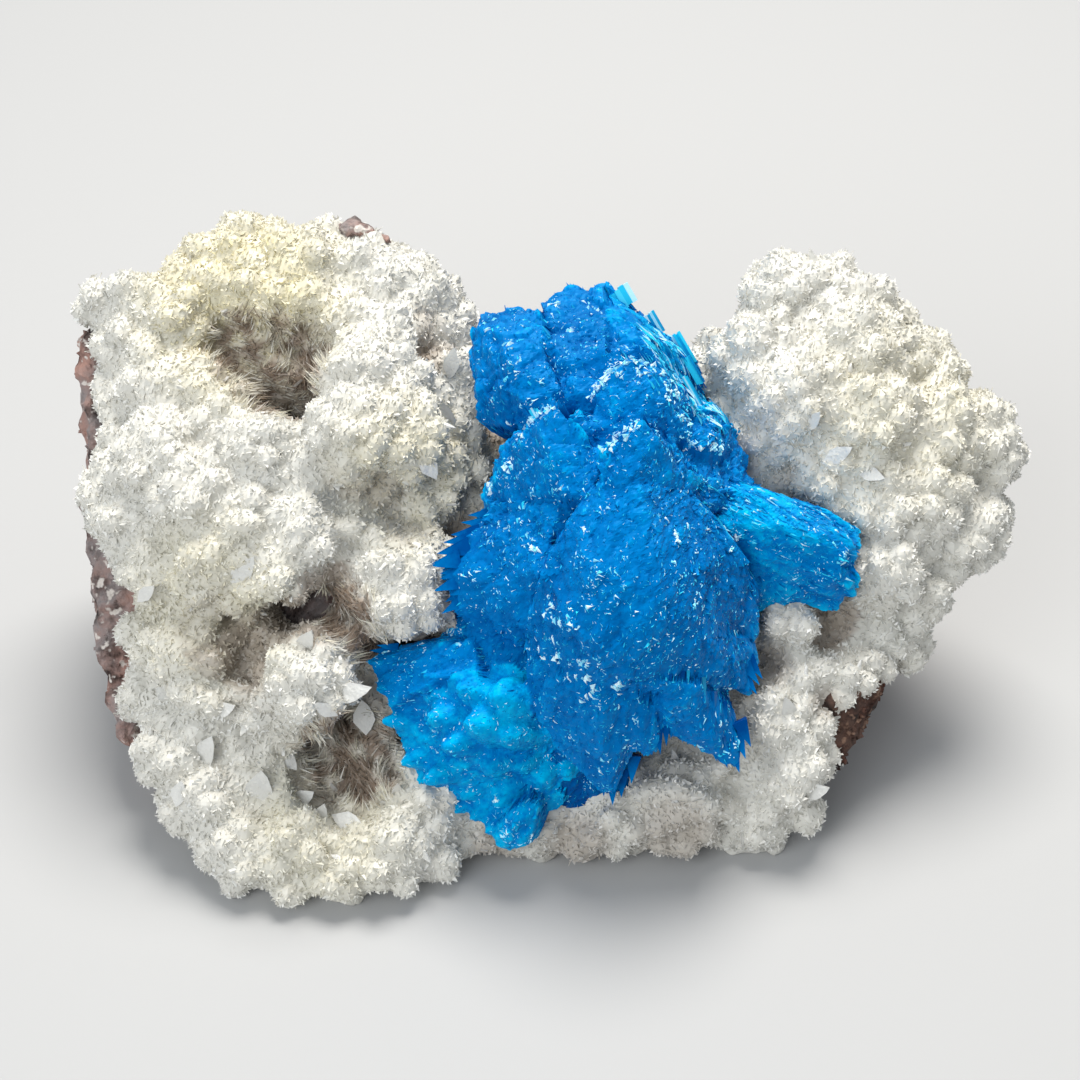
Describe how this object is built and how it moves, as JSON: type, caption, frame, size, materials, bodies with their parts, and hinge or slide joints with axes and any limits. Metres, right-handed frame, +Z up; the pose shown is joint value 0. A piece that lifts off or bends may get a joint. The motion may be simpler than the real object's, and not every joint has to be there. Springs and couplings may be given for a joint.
{
  "type": "cavansite mineral specimen",
  "caption": "Blue cavansite crystal sprays in a saddle of white bladed stilbite druse on a broken basalt matrix, resting on its flat base.",
  "frame": {"origin": "on the resting plane, under the middle of the specimen's box", "axes": "+Z up from the flat broken base, +X along the length to the right of the display face, which looks towards -Y and up"},
  "size_m": [0.0898, 0.0516, 0.0451],
  "materials": {
    "basalt": "rough broken basalt, reddish brown and grey, dull",
    "stilbite": "white to cream bladed crystals, translucent, vitreous to pearly",
    "cavansite": "vivid blue radiating prisms, vitreous, pale cyan at thin edges"
  },
  "bodies": {
    "root": {"basalt_host_rock": "basalt", "stilbite_crust": "stilbite", "cavansite_cluster": "cavansite"}
  },
  "joints": []
}
